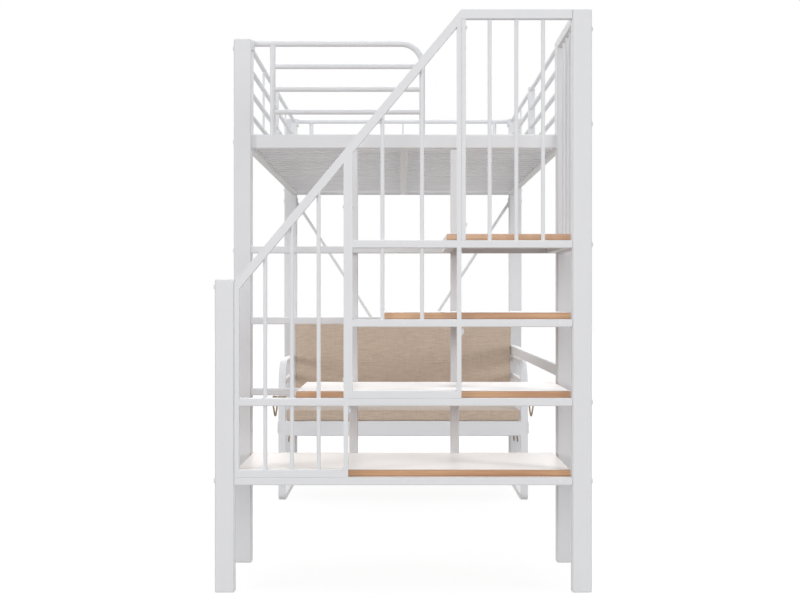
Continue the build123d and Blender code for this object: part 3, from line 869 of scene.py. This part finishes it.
def leg_tie(name, side, settings):
    """Tie round the sofa's front leg, knotted outside it, with a hanging loop and an ear."""
    low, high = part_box("sofa_left_side_frame" if side < 0 else "sofa_right_side_frame")
    outer = high.x if side > 0 else low.x
    gap = Vector((settings.gap,) * 3)
    leg_low = Vector((low.x, low.y, settings.height)) - gap
    leg_high = Vector((high.x, low.y + LEG_DEPTH, settings.height)) + gap

    def beside_leg(route, stretch):
        return [(outer + side * out, low.y + back, settings.height + up * stretch)
                for out, back, up in route]

    loop = beside_leg(LOOP_ROUTE, settings.drop / LOOP_DROP)
    ear = beside_leg(EAR_ROUTE, 1)
    width, thickness = settings.width, settings.thickness
    join_tie(name, [
        band(name + "_band", leg_low, leg_high, width * BAND_SHARE, thickness),
        ribbon(name + "_loop", loop, LOOP_ACROSS, width, thickness),
        ribbon(name + "_ear", ear, EAR_ACROSS, width, thickness),
        knot(name, loop[0], *LEG_KNOT),
    ])


def rail_tie(name, side, settings):
    """Tie that comes down behind the front seat rail, with its two ends below it."""
    low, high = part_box("sofa_front_rail")
    back = high.y + BEHIND_RAIL
    middle = side * RAIL_TIE_SIDE
    top = high.z - 0.006
    parts = [knot(name, (middle, back + 0.003, high.z - 0.030), *RAIL_KNOT)]
    for number, (offset, lean, end) in enumerate(RAIL_ENDS):
        x = middle + side * offset
        foot = x + side * lean
        # The route goes down behind the rail, out below it and on to the loose end
        route = [
            (middle, back + 0.004, top),
            (middle + side * offset * 0.3, back + 0.004, top - 0.022),
            (x, back + 0.003, low.z + 0.015),
            (x, back + 0.001, low.z - 0.002),
            (foot, back + 0.002, (low.z + end) / 2),
            (foot, back + 0.001, end),
        ]
        parts.append(ribbon(f"{name}_end_{number}", route, RAIL_END_ACROSS,
                            settings.width * RAIL_END_SHARE, settings.thickness))
    join_tie(name, parts)


class LOFTBED_OT_ties(Operator):
    """Fabric ties of the cushions, at the sofa's legs and behind its front rail"""
    bl_idname = "loftbed.ties"
    bl_label = "Ties"

    def execute(self, context):
        settings = context.scene.loft_bed.ties
        for name, side in (("left", -1), ("right", 1)):
            leg_tie(name + "_leg_tie", side, settings)
            rail_tie(name + "_rail_tie", side, settings)
        return {"FINISHED"}


# Cushions


STRETCH_STIFFNESS = 15
BENDING_STIFFNESS = 0.5
FILL_FRAMES = 20
WELT_POINTS = 360

# Where the search for the welt's route starts, as a share of the way from the middle to the side

WELT_START = 1.2


def cushion_block(name, low, high, corner):
    """Rounded block between two corners, as the cover before it is filled."""
    bpy.ops.mesh.primitive_cube_add(size=1, location=(low + high) / 2, scale=high - low)
    obj = added(name)
    edit(obj)
    bpy.ops.mesh.select_all(action="SELECT")
    bpy.ops.mesh.bevel(offset=corner, segments=3, affect="EDGES")
    leave_edit()
    return obj


def pin_edges(obj, low, high, reach):
    """Names the vertices along the block's twelve edges, where the seams hold the cloth."""
    group = obj.vertex_groups.new(name="seams")
    held = []
    for vertex in obj.data.vertices:
        near = sum(
            min(vertex.co[axis] - low[axis], high[axis] - vertex.co[axis]) < reach
            for axis in range(3)
        )
        if near > 1:
            held.append(vertex.index)
    group.add(held, 1.0, "REPLACE")
    return group


def face_axes(thick):
    """The two axes that a cushion's large faces run along."""
    return [axis for axis in range(3) if axis != thick]


def pull_in(obj, low, high, thick, draw):
    """Curves the sides inwards between the corners, all through the cushion's thickness."""
    middle, half = (low + high) / 2, (high - low) / 2
    first, second = face_axes(thick)
    for vertex in obj.data.vertices:
        share = [(vertex.co[axis] - middle[axis]) / half[axis] for axis in range(3)]
        for across, along in ((first, second), (second, first)):
            vertex.co[across] -= draw * share[across] * (1 - share[along] ** 2)


def fill(obj, seams, pressure, swell):
    """Blows the cover up by cloth pressure, with a limit to how far a point may move."""
    rest = [vertex.co.copy() for vertex in obj.data.vertices]
    cloth = obj.modifiers.new("Fill", "CLOTH")
    cloth.settings.vertex_group_mass = seams.name
    cloth.settings.use_pressure = True
    cloth.settings.uniform_pressure_force = pressure
    cloth.settings.effector_weights.gravity = 0
    cloth.settings.tension_stiffness = STRETCH_STIFFNESS
    cloth.settings.compression_stiffness = STRETCH_STIFFNESS
    cloth.settings.bending_stiffness = BENDING_STIFFNESS
    cloth.collision_settings.use_collision = False
    cloth.collision_settings.use_self_collision = False
    scene = bpy.context.scene
    for number in range(1, FILL_FRAMES + 1):
        scene.frame_set(number)
    pick(obj)
    bpy.ops.object.modifier_apply(modifier=cloth.name)
    scene.frame_set(1)
    for vertex, place in zip(obj.data.vertices, rest):
        shift = vertex.co - place
        if shift.length > swell:
            vertex.co = place + shift.normalized() * swell


def keep_inside(obj, low, high):
    """Brings every vertex back between two corners."""
    for vertex in obj.data.vertices:
        for axis in range(3):
            vertex.co[axis] = min(max(vertex.co[axis], low[axis]), high[axis])


def welt_route(obj, low, high, thick, level):
    """Points on the cushion's surface, once round it at one level of its thickness."""
    first, second = face_axes(thick)
    middle, half = (low + high) / 2, (high - low) / 2
    points = []
    for step in range(WELT_POINTS):
        turn = 2 * math.pi * step / WELT_POINTS
        outward = Vector((0, 0, 0))
        outward[first] = half[first] * math.cos(turn)
        outward[second] = half[second] * math.sin(turn)
        outward = outward / max(abs(math.cos(turn)), abs(math.sin(turn)))
        start = middle + outward * WELT_START
        start[thick] = level
        hit, place, normal, face = obj.ray_cast(start, -outward)
        if not hit:
            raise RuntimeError("the welt's route missed the cushion " + obj.name)
        points.append(place)
    return points


def welt(name, points, diameter):
    """Closed cord along the points."""
    data = bpy.data.curves.new(name, "CURVE")
    data.dimensions = "3D"
    data.bevel_depth = diameter / 2
    data.bevel_resolution = 1
    spline = data.splines.new("POLY")
    spline.points.add(len(points) - 1)
    for point, place in zip(spline.points, points):
        point.co = (*place, 1)
    spline.use_cyclic_u = True
    obj = bpy.data.objects.new(name, data)
    bpy.context.scene.collection.objects.link(obj)
    pick(obj)
    bpy.ops.object.convert(target="MESH")
    bpy.ops.object.shade_smooth()
    dress(bpy.context.object, "cushion_fabric")


def cushion(node, settings, thick, rests_low):
    """Filled cushion in its CAD solid's space, thick along one axis, with one face flat."""
    low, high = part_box(node)
    low_inset = Vector((settings.side_inset,) * 3)
    high_inset = low_inset.copy()
    low_inset[thick] = settings.rest_inset if rests_low else settings.face_inset
    high_inset[thick] = settings.face_inset if rests_low else settings.rest_inset
    start_low, start_high = low + low_inset, high - high_inset
    obj = cushion_block(node + "_cover", start_low, start_high, settings.corner)
    apply_modifier(obj, "REMESH", mode="VOXEL", voxel_size=settings.voxel)
    seams = pin_edges(obj, start_low, start_high, settings.corner)
    pull_in(obj, start_low, start_high, thick, settings.draw)
    fill(obj, seams, settings.pressure, settings.swell)
    apply_modifier(obj, "SUBSURF", levels=1, render_levels=1)
    obj.vertex_groups.clear()
    keep_inside(obj, low, high)
    pick(obj)
    bpy.ops.object.shade_smooth()
    dress(obj, "cushion_fabric")
    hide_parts(node)
    levels = (start_low[thick] + settings.corner, start_high[thick] - settings.corner)
    for number, level in enumerate(levels, 1):
        points = welt_route(obj, low, high, thick, level)
        welt(f"{node}_welt_{number}", points, settings.welt)


class LOFTBED_OT_cushions(Operator):
    """Seat and back cushion, filled by cloth pressure, with corded seams"""
    bl_idname = "loftbed.cushions"
    bl_label = "Cushions"

    def execute(self, context):
        settings = context.scene.loft_bed.cushions
        cushion("seat_cushion", settings, thick=Z_AXIS, rests_low=True)
        cushion("back_cushion", settings, thick=Y_AXIS, rests_low=False)
        return {"FINISHED"}


# Floor, light and camera


SKY_TINT = (0.96, 0.98, 1)
FLOOR_SIZE = 60
FLOOR_GLOW = 1.09
FLOOR_GLOW_SHARE = 0.8
LAMP_PLACE = (0, 0, 4)


def direct_rays(tree):
    """Mask of the rays that see the plain background instead of the lit surface."""
    path = add(tree, "ShaderNodeLightPath").outputs
    seen = calculated(tree, "MAXIMUM", path["Is Camera Ray"], path["Is Glossy Ray"])
    return calculated(tree, "MAXIMUM", seen, path["Is Transmission Ray"])


def mix_shaders(tree, mask, first, second, out_kind):
    """Puts out as the surface the first shader, or the second where the mask is 1."""
    mixed = add(tree, "ShaderNodeMixShader", {
        0: mask, 1: first.outputs[0], 2: second.outputs[0],
    }).outputs[0]
    add(tree, out_kind, {"Surface": mixed})


def floor_finish(stage):
    """Pale floor that looks white and keeps a faint shadow."""
    material = bpy.data.materials.new("pale_floor")
    material.use_nodes = True
    tree = material.node_tree
    tree.nodes.clear()
    seen = direct_rays(tree)
    matte = add(tree, "ShaderNodeBsdfDiffuse", {"Color": blend(tree, seen, stage.floor, WHITE)})
    glow = add(tree, "ShaderNodeEmission", {"Color": opaque(WHITE), "Strength": FLOOR_GLOW})
    mask = calculated(tree, "MULTIPLY", seen, FLOOR_GLOW_SHARE)
    mix_shaders(tree, mask, matte, glow, "ShaderNodeOutputMaterial")
    return material


def floor(stage):
    """Level floor at z 0, which is no part of the bed."""
    bpy.ops.mesh.primitive_plane_add(size=FLOOR_SIZE, location=(0, 0, 0))
    obj = bpy.context.object
    obj.name = "floor"
    paint(obj, floor_finish(stage))


def sky(stage):
    """Even light all round, seen as white by the camera and in reflections."""
    world = bpy.data.worlds.new("even_sky")
    world.use_nodes = True
    tree = world.node_tree
    tree.nodes.clear()
    light = add(tree, "ShaderNodeBackground", {"Color": opaque(SKY_TINT), "Strength": stage.sky})
    white = add(tree, "ShaderNodeBackground", {"Color": opaque(WHITE), "Strength": 1.0})
    mix_shaders(tree, direct_rays(tree), light, white, "ShaderNodeOutputWorld")
    bpy.context.scene.world = world


def lamp(name, energy, spread, turn):
    """Soft distant light, turned from straight down; where it stands has no effect."""
    bpy.ops.object.light_add(type="SUN", location=LAMP_PLACE, rotation=turn)
    obj = bpy.context.object
    obj.name = name
    obj.data.energy = energy
    obj.data.angle = spread


def photo_camera(stage):
    """Level camera that looks straight along the bed, as the photograph's did."""
    place = (stage.camera_side, -stage.camera_distance, stage.camera_height)
    bpy.ops.object.camera_add(location=place, rotation=(RIGHT_ANGLE, 0, 0))
    obj = bpy.context.object
    obj.name = "front_camera"
    obj.data.lens = stage.focal_pixels * obj.data.sensor_width / stage.image_width
    bpy.context.scene.camera = obj


class LOFTBED_OT_stage(Operator):
    """Pale floor, even sky, five soft lamps and the photograph's camera"""
    bl_idname = "loftbed.stage"
    bl_label = "Stage"

    def execute(self, context):
        stage = context.scene.loft_bed.stage
        floor(stage)
        sky(stage)
        low, behind = RIGHT_ANGLE - stage.lamp_rise, RIGHT_ANGLE - stage.back_rise
        lamp("front_lamp", stage.front_lamp, stage.lamp_spread, (low, 0, 0))
        lamp("left_lamp", stage.side_lamp, stage.lamp_spread, (low, 0, -stage.side_turn))
        lamp("right_lamp", stage.side_lamp, stage.lamp_spread, (low, 0, stage.side_turn))
        lamp("back_lamp", stage.back_lamp, stage.top_spread, (-behind, 0, 0))
        lamp("top_lamp", stage.top_lamp, stage.top_spread, (0, 0, 0))
        photo_camera(stage)
        context.scene.view_settings.view_transform = "Standard"
        return {"FINISHED"}


# Sidebar and registration


class LOFTBED_PT_sidebar(Panel):
    bl_label = "Loft bed"
    bl_idname = "LOFTBED_PT_sidebar"
    bl_space_type = "VIEW_3D"
    bl_region_type = "UI"
    bl_category = "Loft bed"

    def draw(self, context):
        settings = context.scene.loft_bed
        for operator in OPERATORS:
            self.layout.operator(operator.bl_idname)
        for group in (settings.finishes, settings.cushions, settings.hardware, settings.ties,
                      settings.stage):
            box = self.layout.box()
            for name in group.__annotations__:
                box.prop(group, name)


OPERATORS = (
    LOFTBED_OT_finishes,
    LOFTBED_OT_post_bolts,
    LOFTBED_OT_railing_bolts,
    LOFTBED_OT_ties,
    LOFTBED_OT_cushions,
    LOFTBED_OT_stage,
)
CLASSES = (
    LoftBedFinishes,
    LoftBedCushions,
    LoftBedHardware,
    LoftBedTies,
    LoftBedStage,
    LoftBedSettings,
    *OPERATORS,
    LOFTBED_PT_sidebar,
)


def register():
    for item in CLASSES:
        bpy.utils.register_class(item)
    bpy.types.Scene.loft_bed = PointerProperty(type=LoftBedSettings)


def unregister():
    del bpy.types.Scene.loft_bed
    for item in reversed(CLASSES):
        bpy.utils.unregister_class(item)


def main():
    register()
    bpy.ops.loftbed.finishes()
    bpy.ops.loftbed.post_bolts()
    bpy.ops.loftbed.railing_bolts()
    bpy.ops.loftbed.ties()
    bpy.ops.loftbed.cushions()
    bpy.ops.loftbed.stage()


if __name__ == "__main__":
    main()
